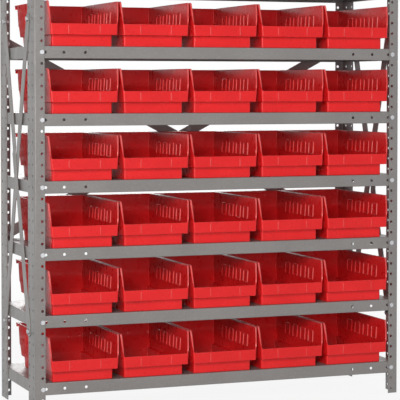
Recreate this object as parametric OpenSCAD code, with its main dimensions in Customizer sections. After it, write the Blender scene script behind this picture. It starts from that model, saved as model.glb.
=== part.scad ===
// Open bolted steel shelving unit with rows of plastic shelf bins, in millimetres.
// Origin at the bottom centre of the whole unit, +Z up, the open front faces -Y.

/* [Unit] */
// Width over the posts
unit_w = 914.4; // [600:0.1:1500]
// Depth over the posts
unit_d = 304.8; // [250:0.1:600]
// Number of shelves
shelf_count = 7; // [5:1:8]
// Number of bins along one shelf
bin_columns = 5; // [2:1:6]

/* [Posts] */
// Sheet thickness of the posts
post_t = 2; // [1.5:0.1:4]
// Width of the flange on the front or back
post_face_w = 24; // [22:0.1:50]
// Width of the flange on the side
post_side_w = 57; // [48:0.1:80]
// Radius inside the bend of a post
post_bend_in = 1; // [0.5:0.1:3]
// Distance between neighbouring holes in a column
hole_pitch = 25.4; // [22:0.1:40]
// Distance of a hole column from the outer corner of the post
hole_in = 17.5; // [14:0.1:19]
// Distance of the second side column from the free edge of its flange
hole_edge = 8; // [6:0.1:12]

/* [Shelves] */
// Holes in a post up to the lowest shelf's bolt
first_deck_holes = 3; // [2:1:6]
// Holes from one shelf's bolt to the next
shelf_step_holes = 6; // [5:1:9]
// Distance from a shelf's turned-down edge to the middle of the next hole below it
edge_to_hole = 11.4; // [8:0.1:14]
// Sheet thickness of the shelves
sheet_t = 1; // [0.7:0.1:2]
// Radius inside the bends of a shelf's edges
sheet_bend_in = 1; // [0.5:0.1:2.5]
// Width of the hem turned in under a shelf's edge
hem_w = 10; // [5:0.1:20]
// Extra rounding of a shelf's corners inside the bend of the post
corner_relief = 1; // [0.5:0.1:3]
// How far a bolt slot runs from the bolt towards the shelf's end
slot_out = 2; // [1:0.1:4]
// How far a bolt slot runs from the bolt towards the shelf's middle
slot_in = 9; // [2:0.1:16]
// Distance from the bolt to the first spare hole in the shelf's edge
spare_hole_in = 52.4; // [40:0.1:80]
// Distance between the spare holes
spare_hole_pitch = 50.8; // [20:0.1:60]

/* [Fasteners] */
// Diameter of the bolts
bolt_d = 6; // [5:0.05:8]
// Room for the bolt in a hole or slot, across
hole_clear = 0.6; // [0.4:0.05:1.5]
// Width across the flats of bolt heads and nuts
hex_af = 10; // [9.5:0.1:13]
// Angle of the chamfer on the corners of heads and nuts
hex_chamfer = 30; // [15:1:45]
// Height of a bolt head
head_h = 4; // [2.5:0.1:6]
// Height of a nut
nut_h = 5.2; // [3:0.1:7]
// Room between the bolt and the nut's bore, all round
nut_clear = 0.1; // [0.05:0.05:0.3]
// Length of bolt that shows past its nut
bolt_past_nut = 2; // [0.5:0.1:6]

/* [Straps] */
// Thickness of a strap
strap_t = 2; // [1.5:0.1:4]
// Distance from a strap's edge to the next hole in the post
strap_to_hole = 12.7; // [11:0.1:16]
// Length of the bend where one strap rises over the other
strap_ramp = 10; // [6:0.5:30]
// Room between that bend and the edge of the strap below
strap_cross_gap = 6; // [2:0.5:30]
// Shelf over which the lower bolts of the back straps take the first hole
rear_brace_low_shelf = 3; // [2:1:3]
// Shelf under which the lower bolts of the side straps take the first free hole
side_brace_low_shelf = 2; // [2:1:3]
// Holes left free between the last shelf but one and the upper bolts of the side straps
side_brace_skip = 2; // [0:1:3]

/* [Bins] */
// Wall thickness of a bin
bin_wall = 2.5; // [1.5:0.1:4]
// Gap between the rims of neighbouring bins
bin_gap = 3; // [1:0.1:8]
// Gap between the end bins and the posts
bin_end_gap = 6.2; // [2:0.1:20]
// How far a bin's front stands out before the posts
bin_reach = 11.5; // [4:0.1:20]
// Distance of a bin's rear lip before the back of the posts
bin_rear_gap = 21; // [12:0.1:40]
// Room between a bin's rim and the shelf edge above
bin_headroom = 22; // [5:0.1:30]
// Height of a bin's front wall
bin_front_h = 50.8; // [45:0.1:60]
// Height of the narrow base under the wider body
bin_base_h = 25; // [15:0.1:32]
// How much narrower than the rim the base is, on each side
bin_base_inset = 12.5; // [9:0.1:20]
// How much narrower than the rim the body is just above the base, on each side
bin_body_inset = 5.6; // [5:0.1:8]
// How much narrower than the rim the body is at the top of the front wall, on each side
bin_front_inset = 4.2; // [3:0.1:5]
// How far the front of the base stands back under the front wall
bin_toe = 20; // [16:0.1:25]
// How far the front edge of a side wall leans back
bin_lean = 11; // [2:0.1:30]
// Height of the bead along the rim, and thickness of the rear lip
bin_bead_h = 4; // [2:0.1:8]
// Width of the bead outside the wall
bin_bead_w = 1.5; // [0.8:0.1:2.5]
// Length of the lip behind the rear wall
bin_lip = 17; // [8:0.1:25]
// Height of the lip's turned-down edge
bin_lip_drop = 10; // [6:0.1:15]
// Height of the step in the rear wall
bin_heel_h = 51; // [35:0.1:60]
// Depth of the step in the rear wall
bin_heel = 5; // [4:0.1:25]
// How far the rear wall slopes forward below the step
bin_heel_slope = 14; // [2:0.1:25]

/* [Ribs of the bins] */
// How far a rib frame stands out from its wall
frame_rib_h = 2; // [0.6:0.1:3]
// Width of a rib in a frame
frame_rib_w = 2.2; // [1.5:0.1:4]
// Number of rib frames inside each side wall
frame_count = 4; // [1:1:4]
// Distance of the first rib frame from the bin's front
frame_first = 65; // [50:0.5:80]
// Distance from one rib frame to the next
frame_pitch = 45.7; // [40:0.1:60]
// Width of a rib frame
frame_w = 28; // [20:0.5:36]
// Height of a rib frame
frame_h = 30; // [15:0.5:36]
// Distance of a rib frame below the rim
frame_drop = 22; // [15:0.5:30]
// How far a front rib stands out from the front wall
label_rib_h = 1.2; // [0.6:0.1:2]
// Width of a front rib
label_rib_w = 3; // [1.5:0.1:4]
// Width of the label space between the front ribs
label_w = 74; // [40:0.5:110]
// Distance of the front ribs from the edges of the front wall
label_margin = 3; // [1:0.5:6]

/* [Hidden] */
$fn = 48;
cut = 1;
steel_grey = [0.52, 0.51, 0.50];
zinc = [0.80, 0.81, 0.82];
bin_red = [0.86, 0.16, 0.17];

// Everything vertical counts in hole pitches; a bolt sits half-way up a shelf's edge
shelf_pitch = shelf_step_holes * hole_pitch;
face_h = 2 * (hole_pitch - edge_to_hole);
function hole_z(n) = (n + 0.5) * hole_pitch;
function hole_over_deck(i) = first_deck_holes + (i - 1) * shelf_step_holes;
function shelf_bolt_z(i) = hole_z(hole_over_deck(i) - 1);
function deck_z(i) = shelf_bolt_z(i) + face_h / 2;
post_holes = hole_over_deck(shelf_count);
post_h = deck_z(shelf_count);

// Fasteners
hole_d = bolt_d + hole_clear;
hex_d = hex_af / cos(30);
bolt_x = unit_w / 2 - hole_in;
side_hole_in = post_side_w - hole_edge;
brace_y = unit_d / 2 - side_hole_in;

// Straps; a shelf's own bolt takes the hole just under its deck
strap_w = 2 * (hole_pitch - strap_to_hole);
rear_brace_low = hole_over_deck(rear_brace_low_shelf);
rear_brace_top = hole_over_deck(shelf_count - 1);
side_brace_low = hole_over_deck(side_brace_low_shelf) - 2;
side_brace_top = hole_over_deck(shelf_count - 1) + side_brace_skip;

// The unit is set so that its whole depth, with fasteners, is centred on the origin
front_reach = max(head_h, bin_reach + label_rib_h);
rear_reach = strap_t + max(head_h, strap_t);
mid_y = (front_reach - rear_reach) / 2;

// Shelves fit inside the posts
shelf_w = unit_w - 2 * post_t;
shelf_d = unit_d - 2 * post_t;
shelf_r = post_bend_in + corner_relief + sheet_t;
shelf_bend = sheet_bend_in + sheet_t;

// Bins fill the space between the posts and between the shelves
bin_pitch = (unit_w - 2 * (post_face_w + bin_end_gap) + bin_gap) / bin_columns;
bin_w = bin_pitch - bin_gap;
bin_l = unit_d + bin_reach - bin_rear_gap;
bin_h = shelf_pitch - face_h - bin_headroom;
bin_rows = shelf_count - 1;
rear_wall_y = bin_l - bin_lip;
base_end_y = rear_wall_y - bin_heel;

sides = [-1, 1];
function side_name(side) = side < 0 ? "left" : "right";
function end_name(end) = end < 0 ? "front" : "rear";
function post_name(side, end) = str("post_", end_name(end), "_", side_name(side));
function shelf_name(i) = str("shelf_", i);
function bin_name(row, col) = str("bin_row", row, "_col", col);
function side_brace_name(side, lifted) = str(side_name(side), "_brace_", lifted ? "b" : "a");
function rear_brace_name(lifted) = str("rear_brace_", lifted ? "b" : "a");

// Rectangle with its corner at the origin rounded
module bent_corner(w, d, r) {
    translate([r, 0]) square([w - r, d]);
    translate([0, r]) square([w, d - r]);
    translate([r, r]) circle(r);
}

// Section of a post: the outer corner at the origin, one flange along X and one along Y
module angle_section() {
    difference() {
        bent_corner(post_face_w, post_side_w, post_bend_in + post_t);
        translate([post_t, post_t]) bent_corner(post_face_w, post_side_w, post_bend_in);
    }
}

// Puts a shape made for the front left corner at any corner of the unit
module at_corner(side, end) {
    translate([side * unit_w / 2, mid_y + end * unit_d / 2, 0])
        mirror([side > 0 ? 1 : 0, 0, 0])
            mirror([0, end > 0 ? 1 : 0, 0])
                children();
}

module post(side, end) {
    color(steel_grey) at_corner(side, end) difference() {
        linear_extrude(post_h) angle_section();
        for (n = [0 : post_holes - 1]) {
            translate([hole_in, post_t + cut, hole_z(n)])
                rotate([90, 0, 0]) cylinder(d = hole_d, h = post_t + 2 * cut);
            for (y = [hole_in, side_hole_in])
                translate([-cut, y, hole_z(n)])
                    rotate([0, 90, 0]) cylinder(d = hole_d, h = post_t + 2 * cut);
        }
    }
}

// Rectangle centred on the origin with all its corners rounded
module rounded_rect(w, h, r) {
    square([w - 2 * r, h], center = true);
    square([w, h - 2 * r], center = true);
    for (x = sides)
        for (y = sides)
            translate([x * (w / 2 - r), y * (h / 2 - r)]) circle(r);
}

// Block with a shelf's outside shape and bends, drawn in by inset all round
module shelf_block(inset) {
    w = shelf_w - 2 * inset;
    d = shelf_d - 2 * inset;
    h = face_h - 2 * inset;
    translate([0, 0, face_h / 2]) intersection() {
        linear_extrude(h, center = true) rounded_rect(w, d, shelf_r - inset);
        rotate([90, 0, 0]) linear_extrude(d, center = true) rounded_rect(w, h, shelf_bend - inset);
        rotate([90, 0, 90]) linear_extrude(w, center = true) rounded_rect(d, h, shelf_bend - inset);
    }
}

// Round cutter that passes through both long edges of a shelf
module edge_hole(x) {
    translate([x, 0, face_h / 2])
        rotate([90, 0, 0]) cylinder(d = hole_d, h = shelf_d + 2 * cut, center = true);
}

module edge_slot(side) {
    inner = side * (bolt_x - slot_in);
    outer = side * (bolt_x + slot_out);
    edge_hole(inner);
    edge_hole(outer);
    translate([(inner + outer) / 2, 0, face_h / 2])
        cube([slot_in + slot_out, shelf_d + 2 * cut, hole_d], center = true);
}

module shelf(i) {
    color(steel_grey) translate([0, mid_y, deck_z(i) - face_h]) difference() {
        shelf_block(0);
        shelf_block(sheet_t);
        translate([0, 0, -cut]) linear_extrude(sheet_t + 2 * cut)
            square([shelf_w - 2 * hem_w, shelf_d - 2 * hem_w], center = true);
        for (side = sides) {
            edge_slot(side);
            for (k = [0, 1]) edge_hole(side * (bolt_x - spare_hole_in - k * spare_hole_pitch));
        }
    }
}

// Hexagon along Z with the corners of its upper end chamfered
module chamfered_hex(h) {
    intersection() {
        cylinder(d = hex_d, h = h, $fn = 6);
        cylinder(d1 = hex_af + 2 * h / tan(hex_chamfer), d2 = hex_af, h = h);
    }
}

// Hex bolt along Z: the head's underside at z = 0, the shank runs down through grip and nut
module hex_bolt(grip) {
    shank = grip + nut_h + bolt_past_nut;
    chamfered_hex(head_h);
    translate([0, 0, -shank]) cylinder(d = bolt_d, h = shank + head_h / 2);
}

// Nut under a grip whose upper face is at z = 0
module hex_nut(grip) {
    translate([0, 0, -grip]) difference() {
        mirror([0, 0, 1]) chamfered_hex(nut_h);
        translate([0, 0, -nut_h - cut]) cylinder(d = bolt_d + 2 * nut_clear, h = nut_h + 2 * cut);
    }
}

// Turns +Z to the outside of the front or back
module facing_end(end) {
    rotate([-90 * end, 0, 0]) children();
}

// Turns +Z to the outside of the left or right
module facing_side(side) {
    rotate([0, 90 * side, 0]) children();
}

// Places of the shelf bolts, on the outside of the posts
module at_shelf_bolts() {
    for (i = [1 : shelf_count])
        for (side = sides)
            for (end = sides)
                translate([side * bolt_x, mid_y + end * unit_d / 2, shelf_bolt_z(i)])
                    facing_end(end) children();
}

// Places of the strap bolts, on the outside of the straps
module at_brace_bolts() {
    for (side = sides) {
        for (n = [rear_brace_low, rear_brace_top])
            translate([side * bolt_x, mid_y + unit_d / 2 + strap_t, hole_z(n)])
                facing_end(1) children();
        for (n = [side_brace_low, side_brace_top])
            for (end = sides)
                translate([side * (unit_w / 2 + strap_t), mid_y + end * brace_y, hole_z(n)])
                    facing_side(side) children();
    }
}

module shelf_bolts() {
    color(zinc) at_shelf_bolts() hex_bolt(post_t + sheet_t);
}

module shelf_nuts() {
    color(zinc) at_shelf_bolts() hex_nut(post_t + sheet_t);
}

module brace_bolts() {
    color(zinc) at_brace_bolts() hex_bolt(strap_t + post_t);
}

module brace_nuts() {
    color(zinc) at_brace_bolts() hex_nut(strap_t + post_t);
}

// Flat strap along X with round ends, between two holes at the given span.
// A lifted strap rises by its thickness where it passes over the other one, which it meets at angle.
module strap(span, angle, lifted) {
    end_x = (span + strap_w) / 2;
    top_x = strap_w / 2 * (1 + abs(cos(angle))) / sin(angle) + strap_cross_gap;
    foot_x = top_x + strap_ramp;
    rise = lifted ? strap_t : 0;
    profile = [
        [-end_x, 0], [-foot_x, 0], [-top_x, rise], [top_x, rise], [foot_x, 0], [end_x, 0],
        [end_x, strap_t], [foot_x, strap_t], [top_x, strap_t + rise],
        [-top_x, strap_t + rise], [-foot_x, strap_t], [-end_x, strap_t]
    ];
    color(steel_grey) difference() {
        intersection() {
            rotate([90, 0, 0]) linear_extrude(strap_w, center = true) polygon(profile);
            union() {
                translate([-span / 2, -strap_w / 2, -cut])
                    cube([span, strap_w, 2 * strap_t + 2 * cut]);
                for (side = sides)
                    translate([side * span / 2, 0, -cut])
                        cylinder(d = strap_w, h = 2 * strap_t + 2 * cut);
            }
        }
        for (side = sides)
            translate([side * span / 2, 0, -cut]) cylinder(d = hole_d, h = strap_t + 2 * cut);
    }
}

module rear_brace(lifted) {
    low_z = hole_z(rear_brace_low);
    rise_z = hole_z(rear_brace_top) - low_z;
    slope = atan2(rise_z, 2 * bolt_x);
    translate([0, mid_y + unit_d / 2, low_z + rise_z / 2])
        facing_end(1)
            rotate([0, 0, lifted ? -slope : slope])
                strap(norm([2 * bolt_x, rise_z]), 2 * slope, lifted);
}

module side_brace(side, lifted) {
    low_z = hole_z(side_brace_low);
    rise_z = hole_z(side_brace_top) - low_z;
    slope = atan2(2 * brace_y, rise_z);
    translate([side * unit_w / 2, mid_y, low_z + rise_z / 2])
        facing_side(side)
            rotate([0, 0, (lifted ? -1 : 1) * side * slope])
                strap(norm([2 * brace_y, rise_z]), 2 * slope, lifted);
}

// Section of a bin across its width; inset 0 is the outside, more is the hollow inside
module bin_section(inset) {
    base_x = bin_w / 2 - bin_base_inset - inset;
    body_x = bin_w / 2 - bin_body_inset - inset;
    front_x = bin_w / 2 - bin_front_inset - inset;
    wall_x = bin_w / 2 - bin_bead_w - inset;
    rim_x = inset > 0 ? wall_x : bin_w / 2;
    top = inset > 0 ? bin_h + cut : bin_h;
    ledge = bin_base_h + min(inset, bin_wall);
    floor_z = min(inset, bin_wall);
    half = [
        [base_x, floor_z], [base_x, ledge], [body_x, ledge], [front_x, bin_front_h],
        [wall_x, bin_h - bin_bead_h], [rim_x, bin_h - bin_bead_h], [rim_x, top]
    ];
    last = len(half) - 1;
    polygon(concat(half, [for (k = [last : -1 : 0]) [-half[k][0], half[k][1]]]));
}

// Side view of a bin's outside
module bin_outer_profile() {
    polygon([
        [bin_toe, 0], [base_end_y - bin_heel_slope, 0], [base_end_y, bin_heel_h],
        [rear_wall_y, bin_heel_h], [rear_wall_y, bin_h - bin_bead_h],
        [bin_l - bin_wall, bin_h - bin_bead_h], [bin_l - bin_wall, bin_h - bin_lip_drop],
        [bin_l, bin_h - bin_lip_drop], [bin_l, bin_h], [bin_lean, bin_h],
        [0, bin_front_h], [0, bin_base_h], [bin_toe, bin_base_h]
    ]);
}

// Side view of a bin's hollow, open at the top and above the front wall
module bin_inner_profile(inset) {
    ledge = bin_base_h + inset;
    heel = bin_heel_h + inset;
    top = bin_h + cut;
    polygon([
        [bin_toe + inset, inset], [base_end_y - bin_heel_slope - inset, inset],
        [base_end_y - inset, heel], [rear_wall_y - inset, heel],
        [rear_wall_y - inset, top], [-cut, top], [-cut, bin_front_h],
        [inset, bin_front_h], [inset, ledge], [bin_toe + inset, ledge]
    ]);
}

// Carries a section drawn as width and height along a bin's length
module along_length() {
    translate([0, bin_l, 0]) rotate([90, 0, 0]) linear_extrude(bin_l + cut) children();
}

// Carries a side view drawn as length and height across a bin's width
module across_width() {
    rotate([90, 0, 90]) linear_extrude(bin_w, center = true) children();
}

// Side view of one rib frame, for a divider to slide between its uprights
module frame_outline(y) {
    translate([y - frame_w / 2, bin_h - frame_drop - frame_h]) difference() {
        square([frame_w, frame_h]);
        translate([frame_rib_w, frame_rib_w])
            square([frame_w - 2 * frame_rib_w, frame_h - 2 * frame_rib_w]);
    }
}

module bin_shell() {
    difference() {
        intersection() {
            along_length() bin_section(0);
            across_width() bin_outer_profile();
        }
        intersection() {
            along_length() bin_section(bin_wall);
            across_width() bin_inner_profile(bin_wall);
        }
    }
}

// Rib frames on the inside of both side walls, rooted half-way into the wall
module wall_ribs() {
    root = bin_wall / 2;
    difference() {
        intersection() {
            along_length() bin_section(root);
            across_width() bin_inner_profile(root);
            across_width() for (k = [0 : frame_count - 1]) frame_outline(frame_first + k * frame_pitch);
        }
        along_length() bin_section(bin_wall + frame_rib_h);
    }
}

// Two upright ribs that bound the label space on the front wall
module label_ribs() {
    for (side = sides)
        translate([side * label_w / 2 - label_rib_w / 2, -label_rib_h, bin_base_h + label_margin])
            cube([label_rib_w, 2 * label_rib_h, bin_front_h - bin_base_h - 2 * label_margin]);
}

module bin(row, col) {
    x = (col - (bin_columns + 1) / 2) * bin_pitch;
    color(bin_red) translate([x, mid_y - unit_d / 2 - bin_reach, deck_z(row)]) {
        bin_shell();
        wall_ribs();
        label_ribs();
    }
}

for (end = sides)
    for (side = sides)
        post(side, end);
for (i = [1 : shelf_count])
    shelf(i);
for (lifted = [false, true])
    rear_brace(lifted);
for (side = sides)
    for (lifted = [false, true])
        side_brace(side, lifted);
shelf_bolts();
shelf_nuts();
brace_bolts();
brace_nuts();
for (row = [1 : bin_rows])
    for (col = [1 : bin_columns])
        bin(row, col);
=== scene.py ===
import itertools
import math

import bpy
import numpy as np
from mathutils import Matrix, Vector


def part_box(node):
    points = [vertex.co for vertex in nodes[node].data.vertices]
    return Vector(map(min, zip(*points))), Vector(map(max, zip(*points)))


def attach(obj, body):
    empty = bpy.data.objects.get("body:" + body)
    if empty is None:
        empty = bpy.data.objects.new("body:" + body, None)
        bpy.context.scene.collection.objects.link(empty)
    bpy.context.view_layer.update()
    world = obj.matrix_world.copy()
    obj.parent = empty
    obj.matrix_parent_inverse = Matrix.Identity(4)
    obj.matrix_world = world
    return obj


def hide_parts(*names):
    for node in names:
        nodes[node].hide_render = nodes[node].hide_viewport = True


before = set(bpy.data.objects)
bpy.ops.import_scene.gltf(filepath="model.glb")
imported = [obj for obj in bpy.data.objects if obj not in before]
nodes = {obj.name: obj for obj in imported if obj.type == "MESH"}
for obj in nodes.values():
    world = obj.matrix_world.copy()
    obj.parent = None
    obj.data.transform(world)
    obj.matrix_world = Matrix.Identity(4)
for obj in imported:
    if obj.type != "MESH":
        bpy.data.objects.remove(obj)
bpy.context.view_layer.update()  # nodes of the imported unit
mm = 0.001  # shapes below are worked out in millimetres
print("frame loaded,", len(nodes), "nodes")


# Nodes of a material

cloudSpan = (0.3, 0.7)  # where most of a cloudy noise lies
wholeSpan = (0.0, 1.0)


def newMaterial(name):
    material = bpy.data.materials.new(name)
    material.use_nodes = True
    tree = material.node_tree
    place = tree.nodes.new("ShaderNodeTexCoord").outputs["Object"]
    return material, tree, tree.nodes["Principled BSDF"], place


def stretched(tree, place, scale):  # the same place, scaled differently along each axis
    node = tree.nodes.new("ShaderNodeMapping")
    node.inputs["Scale"].default_value = scale
    tree.links.new(place, node.inputs["Vector"])
    return node.outputs["Vector"]


def noise(tree, place, scale, detail):  # cloudy value about 0.5, scale in features per metre
    node = tree.nodes.new("ShaderNodeTexNoise")
    node.inputs["Scale"].default_value = scale
    node.inputs["Detail"].default_value = detail
    tree.links.new(place, node.inputs["Vector"])
    return node.outputs["Fac"]


def spangle(tree, place, scale):  # one random value for each crystal
    node = tree.nodes.new("ShaderNodeTexVoronoi")
    node.inputs["Scale"].default_value = scale
    tree.links.new(place, node.inputs["Vector"])
    return node.outputs["Color"]


def remap(tree, value, source, target):  # carries the source range over to the target range
    node = tree.nodes.new("ShaderNodeMapRange")
    for socket, number in zip(node.inputs[1:5], (*source, *target)):
        socket.default_value = number
    tree.links.new(value, node.inputs[0])
    return node.outputs[0]


def combine(tree, operation, first, second):
    node = tree.nodes.new("ShaderNodeMath")
    node.operation = operation
    tree.links.new(first, node.inputs[0])
    tree.links.new(second, node.inputs[1])
    return node.outputs[0]


def blendColours(tree, factor, low, high):  # low and high are colours or the outputs of other nodes
    node = tree.nodes.new("ShaderNodeMix")
    node.data_type = "RGBA"
    tree.links.new(factor, node.inputs["Factor"])
    for socket, colour in ((node.inputs[6], low), (node.inputs[7], high)):
        if isinstance(colour, tuple):
            socket.default_value = (*colour, 1.0)
        else:
            tree.links.new(colour, socket)
    return node.outputs[2]


def roughen(tree, shader, height, depth, below=None):  # bump of the given depth in metres
    node = tree.nodes.new("ShaderNodeBump")
    node.inputs["Distance"].default_value = depth
    tree.links.new(height, node.inputs["Height"])
    if below is not None:
        tree.links.new(below, node.inputs["Normal"])
    tree.links.new(node.outputs["Normal"], shader.inputs["Normal"])
    return node.outputs["Normal"]


# Grey enamel of posts, shelves and straps

enamelLook = dict(
    light=(0.230, 0.218, 0.211),
    dark=(0.196, 0.185, 0.179),
    speck=(0.31, 0.30, 0.29),
    cloud=(9.0, 5.0),  # features per metre and detail, as in every noise here
    specks=(260.0, 2.0),
    speckFrom=(0.56, 0.74),
    speckShare=(0.0, 0.5),
    sheen=(40.0, 4.0),
    sheenStretch=(1.0, 1.0, 0.35),
    rough=(0.30, 0.46),
    peel=(520.0, 2.0),
    peelDepth=0.00006,
    specular=0.8,
)


def greyEnamel(look):
    material, tree, shader, place = newMaterial("grey_enamel")
    cloud = remap(tree, noise(tree, place, *look["cloud"]), cloudSpan, wholeSpan)
    base = blendColours(tree, cloud, look["dark"], look["light"])
    specks = remap(tree, noise(tree, place, *look["specks"]), look["speckFrom"], look["speckShare"])
    tree.links.new(blendColours(tree, specks, base, look["speck"]), shader.inputs["Base Color"])
    sheen = noise(tree, stretched(tree, place, look["sheenStretch"]), *look["sheen"])
    tree.links.new(remap(tree, sheen, cloudSpan, look["rough"]), shader.inputs["Roughness"])
    roughen(tree, shader, noise(tree, place, *look["peel"]), look["peelDepth"])
    shader.inputs["Specular IOR Level"].default_value = look["specular"]
    return material


# Zinc plating of bolts and nuts

zincLook = dict(
    light=(0.56, 0.56, 0.57),
    dark=(0.40, 0.41, 0.43),
    crystals=420.0,  # to a metre
    rough=(0.38, 0.54),
    grain=(1500.0, 2.0),
    grainDepth=0.00002,
)


def zincPlate(look):
    material, tree, shader, place = newMaterial("zinc_plate")
    crystals = spangle(tree, place, look["crystals"])
    colour = blendColours(tree, crystals, look["dark"], look["light"])
    tree.links.new(colour, shader.inputs["Base Color"])
    tree.links.new(remap(tree, crystals, wholeSpan, look["rough"]), shader.inputs["Roughness"])
    roughen(tree, shader, noise(tree, place, *look["grain"]), look["grainDepth"])
    shader.inputs["Metallic"].default_value = 1.0
    return material


# Moulded red plastic of the bins

plasticLook = dict(
    light=(0.84, 0.018, 0.020),
    dark=(0.76, 0.013, 0.015),
    # pale pink used for worn plastic and as a painted highlight along rims and rib frames
    wornHighlight=(0.72, 0.17, 0.16),
    flow=(14.0, 4.0),
    flowStretch=(1.0, 0.4, 1.6),
    palePatches=(75.0, 4.0),
    palePatchFrom=(0.35, 0.65),
    palePatchShare=(0.55, 1.0),
    haze=(60.0, 4.0),
    rough=(0.24, 0.36),
    polish=0.13,  # taken off the roughness where the wear and painted-highlight mask is high
    wave=(22.0, 1.0),
    waveDepth=0.0003,
    grain=(900.0, 2.0),
    grainDepth=0.00004,
    specular=0.32,
)
wearAndHighlight = "wear_and_highlight"  # value of a point of a bin, 1 where the plastic is painted pale: wear plus a painted highlight on rims and ribs


def redPlastic(look):
    material, tree, shader, place = newMaterial("red_plastic")
    flow = noise(tree, stretched(tree, place, look["flowStretch"]), *look["flow"])
    tone = remap(tree, flow, cloudSpan, wholeSpan)
    fresh = blendColours(tree, tone, look["dark"], look["light"])
    patchy = remap(tree, noise(tree, place, *look["palePatches"]), look["palePatchFrom"], look["palePatchShare"])
    # rims and ribs are painted pale pink through this mask: wear plus a painted highlight
    edges = tree.nodes.new("ShaderNodeAttribute")
    edges.attribute_name = wearAndHighlight
    wornHighlight = combine(tree, "MULTIPLY", edges.outputs["Fac"], patchy)
    tree.links.new(blendColours(tree, wornHighlight, fresh, look["wornHighlight"]), shader.inputs["Base Color"])
    haze = remap(tree, noise(tree, place, *look["haze"]), cloudSpan, look["rough"])
    polish = tree.nodes.new("ShaderNodeMath")
    polish.operation = "MULTIPLY_ADD"
    polish.inputs[1].default_value = -look["polish"]
    tree.links.new(wornHighlight, polish.inputs[0])
    tree.links.new(haze, polish.inputs[2])
    tree.links.new(polish.outputs[0], shader.inputs["Roughness"])
    wave = roughen(tree, shader, noise(tree, place, *look["wave"]), look["waveDepth"])
    roughen(tree, shader, noise(tree, place, *look["grain"]), look["grainDepth"], wave)
    shader.inputs["Specular IOR Level"].default_value = look["specular"]
    return material


enamel = greyEnamel(enamelLook)
zinc = zincPlate(zincLook)
plastic = redPlastic(plasticLook)
print("materials made")


# Meshes from grids of points

largeFaces = 90  # how strongly large faces lead the smoothed normals, of 100


def gridFaces(rows, cols, closedRows=False, start=0):
    # each row is a closed loop; corners run along a row and then to the next row,
    # so a face points to row direction x column direction
    r = np.arange(rows if closedRows else rows - 1)[:, None]
    c = np.arange(cols)[None, :]
    nextR, nextC = (r + 1) % rows, (c + 1) % cols
    corners = [r * cols + c, r * cols + nextC, nextR * cols + nextC, nextR * cols + c]
    return start + np.stack(corners, axis=-1).reshape(-1, 4)


def newObject(name, data):
    thing = bpy.data.objects.new(name, data)
    bpy.context.scene.collection.objects.link(thing)
    return thing


def meshPiece(name, points, faces, material, body, slotName, *stoodFor):
    mesh = bpy.data.meshes.new(name)
    corners = [face for block in faces for face in block.tolist()]
    mesh.from_pydata((points * mm).tolist(), [], corners)
    mesh.shade_smooth()
    mesh.materials.append(material)
    piece = newObject(name, mesh)
    piece.modifiers.new("facing", "WEIGHTED_NORMAL").weight = largeFaces
    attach(piece, body)
    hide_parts(*stoodFor)
    return piece


def boxOf(node):  # lowest and highest corner of a node in millimetres
    low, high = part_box(node)
    return np.array(low) / mm, np.array(high) / mm


def roundAngles(count):  # even steps of a full turn
    return np.linspace(0.0, 2 * math.pi, count, endpoint=False)


# Steel sheet parts keep their CAD shapes and get broken edges

sheetFinish = dict(edge=0.35, segments=2, weld=0.002, flat=0.5, sharpFrom=35.0)


def finishSheet(name, finish):
    piece = nodes[name]
    piece.data.materials.clear()
    piece.data.materials.append(enamel)
    weld = piece.modifiers.new("joined", "WELD")
    weld.merge_threshold = finish["weld"] * mm
    flats = piece.modifiers.new("flats", "DECIMATE")
    flats.decimate_type = "DISSOLVE"
    flats.angle_limit = math.radians(finish["flat"])
    edges = piece.modifiers.new("edges", "BEVEL")
    edges.width = finish["edge"] * mm
    edges.segments = finish["segments"]
    edges.limit_method = "ANGLE"
    edges.angle_limit = math.radians(finish["sharpFrom"])


shelfNames = sorted(n for n in nodes if n.startswith("shelf_") and n[-1].isdigit())
sheetNames = sorted(n for n in nodes if n.startswith("post_")) + shelfNames
sheetNames += sorted(n for n in nodes if "_brace_" in n)
for sheetName in sheetNames:
    finishSheet(sheetName, sheetFinish)
print("steel sheet parts finished,", len(sheetNames))


# Hex bolts and nuts

fastener = dict(
    flats=10.0,
    headHigh=4.0,
    nutHigh=5.2,
    boltWide=6.0,
    boreWide=6.2,
    chamfer=30.0,  # degrees
    chamferSteps=3,
    past=2.0,  # of the shank past its nut
    thread=1.0,
    threadDeep=0.4,
    threadTurns=5,
    threadSteps=6,  # to a turn
    point=0.8,
    pointDeep=3,  # in depths of the thread
    seat=0.1,
    bevel=0.35,
    shelfGrip=3.0,
    braceGrip=4.0,
    around=48,
)
boltPlace = dict(
    holeIn=17.5,  # from a post's corner to its holes
    strapRound=12.7,  # radius of a strap's round end
    strapThick=2.0,
)


def hexRadius(angle, flats):  # distance from the axis to the side of a hexagon in that direction
    sector = math.pi / 3
    return flats / 2 / np.cos((angle + sector / 2) % sector - sector / 2)


def turned(angle, stations):
    # surface round the Z axis: each station gives a radius and a height,
    # each a number or one value per angle
    rows = [(np.broadcast_to(r, angle.shape), np.broadcast_to(z, angle.shape)) for r, z in stations]
    radius, height = (np.array(values) for values in zip(*rows))
    return np.stack([radius * np.cos(angle), radius * np.sin(angle), height], axis=-1)


def hexStations(angle, size, low, high):
    # hexagon from low to high; a cone cuts its corners at high,
    # where radius = flats / 2 + (high - z) / tan(chamfer)
    side = hexRadius(angle, size["flats"])
    flat = size["flats"] / 2
    reach = (side - flat) * math.tan(math.radians(size["chamfer"]))
    shares = np.linspace(0.0, 1.0, size["chamferSteps"])
    return [(side, low)] + [(side + (flat - side) * s, high - reach * (1 - s)) for s in shares]


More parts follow.
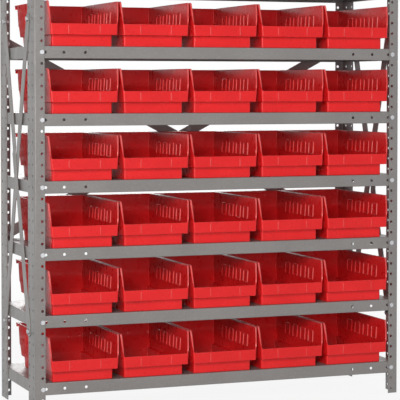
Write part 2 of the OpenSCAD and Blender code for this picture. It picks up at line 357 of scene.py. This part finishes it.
def boltShape(size, grip):
    # outside of a bolt from the end of its shank to the top of its head, which sits on z = 0;
    # the thread's radius = shank - deep * (1 + cos(2 pi turns)) / 2
    angle = roundAngles(size["around"])
    shank, deep, flat = size["boltWide"] / 2, size["threadDeep"], size["flats"] / 2
    end = -(grip + size["nutHigh"] + size["past"])
    turns = np.linspace(0.0, size["threadTurns"], size["threadSteps"] * size["threadTurns"] + 1)
    threadZ = end + size["point"] + turns * size["thread"]
    threadR = shank - deep * (0.5 + 0.5 * np.cos(2 * math.pi * turns))
    stations = [(shank - size["pointDeep"] * deep, end)] + list(zip(threadR, threadZ))
    stations += [(shank, threadZ[-1] + deep), (shank, 0.0), (flat, 0.0)]
    return turned(angle, stations + hexStations(angle, size, size["seat"], size["headHigh"]))


def nutShape(size, grip):
    # closed ring of a nut under its grip: up the outside from its free end, then down its bore
    angle = roundAngles(size["around"])
    bore, edge = size["boreWide"] / 2, size["bevel"]
    top, end = -grip, -grip - size["nutHigh"]
    upright = hexStations(angle, size, end + size["seat"], top)
    outside = [(r, end + top - z) for r, z in upright][::-1]  # with its chamfer at the free end
    inside = [(bore + edge, top), (bore, top - edge), (bore, end + edge), (bore + edge, end)]
    return turned(angle, outside + [(size["flats"] / 2, top)] + inside)


def facing(outward):  # matrix whose columns turn +Z to the outward direction
    z = np.array(outward, float)
    x = np.cross((0.0, 0.0, 1.0), z)
    return np.stack([x, np.cross(z, x), z], axis=1)


def fastenerSet(name, shape, ring, places):
    # the same shape at every place, each with its point and its outward direction
    rows, cols = shape.shape[:2]
    count = rows * cols
    points, faces = [], []
    for k, (point, outward) in enumerate(places):
        points.append(shape.reshape(-1, 3) @ facing(outward).T + np.array(point))
        faces.append(gridFaces(rows, cols, closedRows=ring, start=k * count))
        if not ring:
            faces.append(k * count + np.arange(cols)[None, ::-1])
            faces.append(k * count + (rows - 1) * cols + np.arange(cols)[None, :])
    node = name.replace("_set", "")
    meshPiece(name, np.concatenate(points), faces, zinc, "frame", "zinc_steel", node)


postLow = boxOf("post_front_left")[0]
postHigh = boxOf("post_rear_right")[1]
rearLow, rearHigh = boxOf("rear_brace_a")
sideLow, sideHigh = boxOf("left_brace_a")
holeIn, strapRound, strapThick = (boltPlace[n] for n in ("holeIn", "strapRound", "strapThick"))
edgeMiddles = [sum(corner[2] for corner in boxOf(n)) / 2 for n in shelfNames]
shelfPlaces = [
    ((x, y, z), (0, outward, 0))
    for z in edgeMiddles
    for x in (postLow[0] + holeIn, postHigh[0] - holeIn)
    for y, outward in ((postLow[1], -1), (postHigh[1], 1))
]
bracePlaces = [
    ((x, postHigh[1] + strapThick, z), (0, 1, 0))
    for x in (rearLow[0] + strapRound, rearHigh[0] - strapRound)
    for z in (rearLow[2] + strapRound, rearHigh[2] - strapRound)
]
bracePlaces += [
    ((x, y, z), (outward, 0, 0))
    for x, outward in ((postLow[0] - strapThick, -1), (postHigh[0] + strapThick, 1))
    for y in (sideLow[1] + strapRound, sideHigh[1] - strapRound)
    for z in (sideLow[2] + strapRound, sideHigh[2] - strapRound)
]
for kind, places in (("shelf", shelfPlaces), ("brace", bracePlaces)):
    grip = fastener[kind + "Grip"]
    fastenerSet(kind + "_bolts_set", boltShape(fastener, grip), False, places)
    fastenerSet(kind + "_nuts_set", nutShape(fastener, grip), True, places)
print("bolts and nuts made,", len(shelfPlaces), "and", len(bracePlaces))


# Shelf bins

binShape = dict(
    wall=2.5,
    frontHigh=50.8,
    baseHigh=25.0,  # of the narrow base under the ledge
    baseInset=12.5,  # insets are from the rim's side
    bodyInset=5.6,
    frontInset=4.2,
    toe=20.0,  # from the front face back to the base
    lean=11.0,  # how far back the side wall's front edge reaches full height
    leanSpan=1.35,  # points lie closer over that many leans
    leanSoft=0.22,  # share of the rise that is rounded at its top
    beadHigh=4.0,
    beadOut=1.5,
    lip=17.0,
    lipDrop=10.0,
    heelHigh=51.0,  # step of the rear wall
    heelDeep=5.0,
    heelSlope=14.0,
    heelSpread=10.0,  # half height of the soft step on the inside
    draft=0.7,
    cornerOut=4.0,
    cornerIn=1.5,
    ring=6.0,  # flat ring inside the edge of the bottom and of the floor
    frontBand=4.0,
    footRound=1.6,
    ledgeRound=0.8,
    wallRound=1.2,
    rimRound=1.0,
    floorRound=2.5,
    # shares of the pale colour on the front rim and on the label ribs: wear plus a painted highlight
    frontPaleShare=0.3,
    labelPaleShare=0.35,
)
binPoints = dict(edge=4, corner=6, lean=11, side=12, front=4)  # points along each stretch
frameRib = dict(out=2.0, wide=2.2, root=0.7, arch=0.6, points=7)
labelRib = dict(out=1.2, wide=3.0, root=0.7, arch=0.6, points=9)
ribFrame = dict(
    count=4,
    first=65.0,
    pitch=45.7,
    wide=28.0,
    high=30.0,
    drop=22.0,  # from the rim
    corner=2.0,
    cornerPoints=4,
    outside=0.4,  # height on the outer face as a share of that on the inner face
    # pale colour on the level bars and its loss from each frame to the next: a painted highlight, strongest
    # on the uprights of the front frames, plus wear
    levelBarPaleShare=0.15,
    paleLoss=0.28,  # from one frame to the next behind it
)
labelSpace = dict(
    wide=74.0,
    margin=3.0,
    along=(0.0, 0.03, 0.08, 0.92, 0.97, 1.0),
    taper=(0.3, 0.8, 1.0, 1.0, 0.8, 0.3),
)
lipEdge = dict(
    around=24,
    across=(-1.0, -0.994, 0.994, 1.0),
    taper=(0.7, 1.0, 1.0, 0.7),
    sidePower=5,
    endPower=8,
)
nearHalf = 0.48  # most of a short stretch that one rounded edge takes
tiny = 1e-6


def roundedChain(corners, radii, steps):
    # corners is stations x around x 3; each inner station becomes a curve,
    # first * (1 - t)^2 + 2 * here * t * (1 - t) + last * t^2, whose ends lie on the neighbouring
    # stretches at the station's radius from it, or nearly half-way on a short one
    here, before, after = corners[1:-1], corners[:-2], corners[2:]
    radius = np.array(radii)[1:-1, None, None]

    def towards(other):
        gap = other - here
        far = np.maximum(np.linalg.norm(gap, axis=-1, keepdims=True), tiny)
        return here + gap * np.minimum(radius / far, nearHalf)

    t = np.linspace(0.0, 1.0, steps)[None, :, None, None]
    first, last = towards(before)[:, None], towards(after)[:, None]
    curve = first * (1 - t) ** 2 + 2 * here[:, None] * t * (1 - t) + last * t ** 2
    curve = curve.reshape(-1, *corners.shape[1:])
    return np.concatenate([corners[:1], curve, corners[-1:]])


def aroundBin(counts, leanShare):
    # half of the way round from the middle of the front to the middle of the back, then its mirror image:
    # across is the share of the straight half width, out the share of the corner radius beside it,
    # along the share of the side, leave and meet the shares of the corner radius at its front and back;
    # points lie closer over the first leanShare of the side, where the wall rises
    turn = np.linspace(0.0, math.pi / 2, counts["corner"])
    near = np.linspace(0.0, 1.0, counts["lean"])[1:] * leanShare
    far = np.linspace(leanShare, 1.0, counts["side"])[1:-1]
    straight = np.linspace(0.0, 1.0, counts["front"])[:-1]
    zero, one = np.zeros_like, np.ones_like
    side = np.concatenate([near, far])
    across = np.concatenate([straight, one(turn), one(side), one(turn), straight[::-1]])
    out = np.concatenate([zero(straight), np.sin(turn), one(side), np.cos(turn), zero(straight)])
    along = np.concatenate([zero(straight), zero(turn), side, one(turn), one(straight)])
    leave = np.concatenate([zero(straight), 1 - np.cos(turn), one(side), zero(turn), zero(straight)])
    meet = np.concatenate([zero(straight), zero(turn), one(side), 1 - np.sin(turn), zero(straight)])
    half = np.stack([across, out, along, leave, meet])
    mirror = half[:, -2:0:-1] * np.array([-1, -1, 1, 1, 1])[:, None]
    return np.concatenate([half, mirror], axis=1)


def smoothMin(a, b, width):  # the smaller of a and b, with the kink rounded over width
    share = np.clip(0.5 + 0.5 * (b - a) / width, 0.0, 1.0)
    return a * share + b * (1 - share) - width * share * (1 - share)


def wallHalf(shape, rimHalf, high, z):  # half width of the outside at height z above the ledge
    body, front = rimHalf - shape["bodyInset"], rimHalf - shape["frontInset"]
    levels = [shape["baseHigh"], shape["frontHigh"], high - shape["beadHigh"], high]
    return np.interp(z, levels, [body, front, rimHalf - shape["beadOut"], rimHalf - shape["beadOut"]])


def binShell(shape, counts, rimHalf, length, high):
    # closed shell: up the outside, over the rim and down the inside. A station's side values hold where
    # the walls are full height, its front values at the low front wall; rise blends them along the lean.
    # Gives the points and how pale each is painted, by wear plus a painted highlight, which is only along
    # the rim
    t, draft, ledge, front = shape["wall"], shape["draft"], shape["baseHigh"], shape["frontHigh"]
    base, body = rimHalf - shape["baseInset"], rimHalf - shape["bodyInset"]
    frontHalf, wall = rimHalf - shape["frontInset"], rimHalf - shape["beadOut"]
    toe, bead, heel = shape["toe"], high - shape["beadHigh"], shape["heelHigh"]
    rear = length - shape["lip"]
    step = rear - shape["heelDeep"]
    foot = step - shape["heelSlope"]
    spread, ring = shape["heelSpread"], shape["ring"]
    outR, inR = shape["cornerOut"], shape["cornerIn"]
    rounded = ("footRound", "ledgeRound", "wallRound", "rimRound", "floorRound")
    footR, ledgeR, wallR, rimR, floorR = (shape[n] for n in rounded)

    def slope(z):  # rear face below the step
        return foot + (step - foot) * z / heel

    def side(z):
        return float(wallHalf(shape, rimHalf, high, z))

    def band(share):  # height in the top band of the front wall
        return front - shape["frontBand"] * (1 - share)

    above, below = heel + spread, heel - spread
    # side height, front height, side half width, front half width, front, rear, edge radius, plan radius
    stations = np.array([
        (0, 0, base - ring, base - ring, toe + ring, foot - ring, 0, inR),
        (0, 0, base, base, toe, foot, footR, outR),
        (ledge, ledge, base, base, toe, slope(ledge), ledgeR, outR),
        (ledge + draft, ledge + draft, body, body, 0, slope(ledge + draft), wallR, outR),
        (heel - draft, band(0.0), side(heel), frontHalf, 0, step, wallR, outR),
        (heel + draft, band(0.2), side(heel), frontHalf, 0, rear, wallR, outR),
        (bead - draft, band(0.4), wall, frontHalf, 0, rear, ledgeR, outR),
        (bead, band(0.6), rimHalf, frontHalf, 0, length, rimR, outR),
        (high, front, rimHalf, frontHalf, 0, length, rimR, outR),
        (high, front, wall - t, frontHalf - t, t, rear - t, rimR, inR),
        (above, band(0.4), side(above) - t, frontHalf - t, t, rear - t, spread, inR),
        (below, band(0.0), side(below) - t, frontHalf - t, t, slope(below) - t, spread, inR),
        (ledge + t + draft, ledge + t + draft, body - t, body - t, t, slope(ledge + draft) - t, wallR, inR),
        (ledge + t, ledge + t, base - t, base - t, toe + t, slope(ledge) - t, ledgeR, inR),
        (t, t, base - t, base - t, toe + t, foot - t, floorR, inR),
        (t, t, base - t - ring, base - t - ring, toe + t + ring, foot - t - ring, 0, inR),
    ], float)
    zSide, zFront, wideSide, wideFront, yFront, yRear, radii, plan = stations.T[:, :, None]
    run = rear - 2 * outR
    way = aroundBin(counts, shape["leanSpan"] * shape["lean"] / run)
    across, out, along, leave, meet = way[:, None, :]
    climb = (outR * leave + along * run) / shape["lean"]
    rise = np.clip(smoothMin(climb, np.ones_like(climb), shape["leanSoft"]), 0.0, 1.0)
    rise = np.where(along < 1, rise, 1.0)
    half = wideFront + (wideSide - wideFront) * rise
    z = zFront + (zSide - zFront) * rise
    x = across * (half - plan) + out * plan
    start, stop = yFront + plan * leave, yRear - plan * meet
    y = start + (stop - start) * along
    steps = counts["edge"]
    points = roundedChain(np.stack([x, y, z], axis=-1), radii[:, 0], steps)
    # pale rim: wear plus a painted highlight along the top edge, less on the front wall
    rim = np.repeat(stations[:, 0] == high, steps)[steps - 1:1 - steps]
    rim = rim & np.roll(rim, 1) & np.roll(rim, -1)  # without the rows where the rim meets the walls
    return points, rim[:, None] * (shape["frontPaleShare"] + (1 - shape["frontPaleShare"]) * rise)


def signedPower(value, power):
    return np.sign(value) * np.abs(value) ** power


def ribSection(rib):  # flat-topped arch across a rib: sideways offset and height above the wall
    angle = np.linspace(0.0, math.pi, rib["points"])
    wide = rib["wide"] / 2 * signedPower(np.cos(angle), rib["arch"])
    tall = (rib["out"] + rib["root"]) * np.sin(angle) ** rib["arch"] - rib["root"]
    return wide, tall


def ribFramePoints(shape, rib, ribs, rimHalf, high, side, centre, outside):
    # the section carried round a rounded rectangle on the inner or outer face of a side wall,
    # and how pale each point is painted, by wear plus a painted highlight: the uprights most, the level
    # bars least
    radius, count = ribs["corner"], ribs["cornerPoints"]
    quarter = np.repeat(np.arange(4) * math.pi / 2, count)
    turn = quarter + np.tile(np.linspace(0.0, math.pi / 2, count), 4)
    middle = quarter + math.pi / 4
    wide, tall = (ribs["wide"] - rib["wide"]) / 2, (ribs["high"] - rib["wide"]) / 2
    y = np.sign(np.cos(middle)) * (wide - radius) + radius * np.cos(turn)
    z = np.sign(np.sin(middle)) * (tall - radius) + radius * np.sin(turn)
    offset, above = ribSection(rib)
    pathY = y[:, None] + offset * np.cos(turn)[:, None]
    pathZ = z[:, None] + offset * np.sin(turn)[:, None]
    height = high - ribs["drop"] - ribs["high"] / 2 + pathZ
    outer = wallHalf(shape, rimHalf, high, height)
    x = outer + above * ribs["outside"] if outside else outer - shape["wall"] - above
    # painted highlight on the uprights, which catch the light, plus some wear
    upright = np.abs(np.cos(turn))[:, None]
    paleShares = upright + (1 - upright) * ribs["levelBarPaleShare"]
    return np.stack([side * x, centre + pathY, height], axis=-1), paleShares


def labelRibPoints(shape, rib, space, side):
    # the section carried up the front wall, drawn in towards both ends
    low, top = shape["baseHigh"] + space["margin"], shape["frontHigh"] - space["margin"]
    share, taper = np.array(space["along"])[:, None], np.array(space["taper"])[:, None]
    offset, above = ribSection(rib)
    x = side * space["wide"] / 2 - offset[None, :] * taper
    y = -(above + rib["root"]) * taper + rib["root"]
    return np.stack([x, y, low + (top - low) * share + 0 * x], axis=-1)


def lipEdgePoints(shape, edge, rimHalf, length, high):
    # bar along the end of the rear lip, whose section about its middle is
    # |2y / thick|^sidePower + |2z / tall|^endPower = 1
    angle = roundAngles(edge["around"])[None, :]
    thick, foot = shape["wall"], high - shape["lipDrop"]
    tall = high - shape["beadHigh"] / 2 - foot
    x = np.array(edge["across"])[:, None] * (rimHalf - shape["beadOut"])
    taper = np.array(edge["taper"])[:, None]
    y = length - thick / 2 + taper * thick / 2 * signedPower(np.cos(angle), 2 / edge["sidePower"])
    z = foot + tall / 2 + taper * tall / 2 * signedPower(np.sin(angle), 2 / edge["endPower"])
    return np.stack([x + 0 * y, y, z], axis=-1)


def makeBin(name):
    low, top = boxOf(name)
    rimHalf, high = (top[0] - low[0]) / 2, top[2] - low[2]
    length = top[1] - low[1] - labelRib["out"]
    bars = [binShell(binShape, binPoints, rimHalf, length, high)]
    bars.append((lipEdgePoints(binShape, lipEdge, rimHalf, length, high), 0.0))
    for side in (-1, 1):
        bars.append((labelRibPoints(binShape, labelRib, labelSpace, side), binShape["labelPaleShare"]))
    points, paleShares, faces, start = [], [], [], 0
    for grid, share in bars:  # each is closed at both ends
        rows, cols = grid.shape[:2]
        ends = start + np.arange(cols)[None, :]
        points.append(grid.reshape(-1, 3))
        paleShares.append(np.broadcast_to(share, (rows, cols)).ravel())
        faces += [gridFaces(rows, cols, start=start), ends[:, ::-1], ends + (rows - 1) * cols]
        start += rows * cols
    for side, k, outside in itertools.product((-1, 1), range(ribFrame["count"]), (False, True)):
        centre = ribFrame["first"] + k * ribFrame["pitch"]
        grid, share = ribFramePoints(binShape, frameRib, ribFrame, rimHalf, high, side, centre, outside)
        rows, cols = grid.shape[:2]
        block = gridFaces(rows, cols, closedRows=True, start=start)
        points.append(grid.reshape(-1, 3))
        # painted highlight and wear fade from the front frames to the rear ones
        paleShares.append(np.broadcast_to(share * (1 - k * ribFrame["paleLoss"]), (rows, cols)).ravel())
        faces.append(block[:, ::-1] if (side < 0) != outside else block)
        start += rows * cols
    corner = np.array([(low[0] + top[0]) / 2, low[1] + labelRib["out"], low[2]])
    spots = np.concatenate(points) + corner
    piece = meshPiece(name + "_moulded", spots, faces, plastic, name, "red_plastic", name)
    # values of the pale mask: wear plus a painted highlight
    paleAttribute = piece.data.attributes.new(wearAndHighlight, "FLOAT", "POINT")
    paleAttribute.data.foreach_set("value", np.concatenate(paleShares))


binNames = sorted(n for n in nodes if n.startswith("bin_"))
for binName in binNames:
    makeBin(binName)
print("bins made,", len(binNames))


# Stage, light and camera

stageLook = dict(
    half=9.0,
    colour=(0.60, 0.605, 0.61),
    rough=0.9,
    specular=0.1,
    glow=0.90,  # share of plain white near the unit, which leaves its shadow
    fadeFrom=1.2,
    fadeTo=3.0,
    skyLight=0.10,
)
lamps = [
    dict(name="key", at=(-2.9, -4.6, 1.95), size=(1.5, 1.3), watts=170.0, colour=(1.0, 0.97, 0.94)),
    dict(name="fill", at=(-0.9, -4.35, 0.66), size=(1.3, 0.8), watts=35.0, colour=(0.97, 0.99, 1.0)),
    dict(name="left", at=(-2.6, -0.7, 0.8), size=(0.9, 1.6), watts=3.0, colour=(1.0, 0.985, 0.95)),
    dict(name="right", at=(3.4, -1.6, 1.2), size=(1.6, 1.8), watts=9.0, colour=(0.62, 0.82, 1.0)),
    dict(name="side", at=(3.0, 1.0, 1.1), size=(1.2, 1.6), watts=26.0, colour=(1.0, 1.0, 1.0)),
    dict(name="back", at=(0.5, 3.6, 1.7), size=(2.2, 1.2), watts=45.0, colour=(1.0, 1.0, 1.0)),
    dict(name="top", at=(0.0, 0.2, 2.7), size=(1.0, 0.5), watts=15.0, colour=(1.0, 1.0, 1.0)),
]
lightAim = (0.0, 0.0, 0.5)
photoCamera = dict(
    at=(-1.4888, -3.8678, 0.7481),
    down=2.186,  # degrees
    turn=-21.026,
    lens=154.18,
    sensor=36.0,
    lower=0.12,  # shift of the picture, in widths of the sensor
)


def seenRays(tree):  # 1 for camera, glossy and transmission rays
    path = tree.nodes.new("ShaderNodeLightPath")
    total = path.outputs["Is Camera Ray"]
    for name in ("Is Glossy Ray", "Is Transmission Ray"):
        total = combine(tree, "MAXIMUM", total, path.outputs[name])
    return total


def makeFloor(look):
    h = look["half"]
    mesh = bpy.data.meshes.new("floor")
    mesh.from_pydata([(-h, -h, 0), (h, -h, 0), (h, h, 0), (-h, h, 0)], [], [(0, 1, 2, 3)])
    floor = newObject("floor", mesh)
    material, tree, shader, place = newMaterial("pale_floor")
    shader.inputs["Base Color"].default_value = (*look["colour"], 1.0)
    shader.inputs["Roughness"].default_value = look["rough"]
    shader.inputs["Specular IOR Level"].default_value = look["specular"]
    glow = tree.nodes.new("ShaderNodeEmission")
    reach = tree.nodes.new("ShaderNodeVectorMath")
    reach.operation = "LENGTH"
    tree.links.new(place, reach.inputs[0])
    fade, share = (look["fadeFrom"], look["fadeTo"]), (look["glow"], 1.0)
    white = combine(tree, "MULTIPLY", remap(tree, reach.outputs["Value"], fade, share), seenRays(tree))
    mix = tree.nodes.new("ShaderNodeMixShader")
    tree.links.new(white, mix.inputs[0])
    tree.links.new(shader.outputs[0], mix.inputs[1])
    tree.links.new(glow.outputs[0], mix.inputs[2])
    tree.links.new(mix.outputs[0], tree.nodes["Material Output"].inputs["Surface"])
    mesh.materials.append(material)


def makeSky(look):
    world = bpy.data.worlds.new("studio")
    world.use_nodes = True
    tree = world.node_tree
    strength = remap(tree, seenRays(tree), wholeSpan, (look["skyLight"], 1.0))
    tree.links.new(strength, tree.nodes["Background"].inputs["Strength"])
    tree.nodes["Background"].inputs["Color"].default_value = (1.0, 1.0, 1.0, 1.0)
    bpy.context.scene.world = world


def makeLamp(spec):
    light = bpy.data.lights.new(spec["name"], "AREA")
    light.shape = "RECTANGLE"
    light.size, light.size_y = spec["size"]
    light.energy = spec["watts"]
    light.color = spec["colour"]
    lamp = newObject(spec["name"], light)
    lamp.location = spec["at"]
    away = np.array(lightAim) - np.array(spec["at"])
    tilt = math.acos(-away[2] / np.linalg.norm(away))
    lamp.rotation_euler = (tilt, 0.0, math.atan2(-away[0], away[1]))


def makeCamera(spec):
    lensData = bpy.data.cameras.new("photo_camera")
    lensData.lens = spec["lens"]
    lensData.sensor_width = spec["sensor"]
    lensData.shift_y = -spec["lower"]
    camera = newObject("photo_camera", lensData)
    camera.location = spec["at"]
    camera.rotation_euler = (math.radians(90 - spec["down"]), 0.0, math.radians(spec["turn"]))
    bpy.context.scene.camera = camera


makeFloor(stageLook)
makeSky(stageLook)
for lampSpec in lamps:
    makeLamp(lampSpec)
makeCamera(photoCamera)
bpy.context.scene.view_settings.view_transform = "Standard"
print("stage, light and camera set")
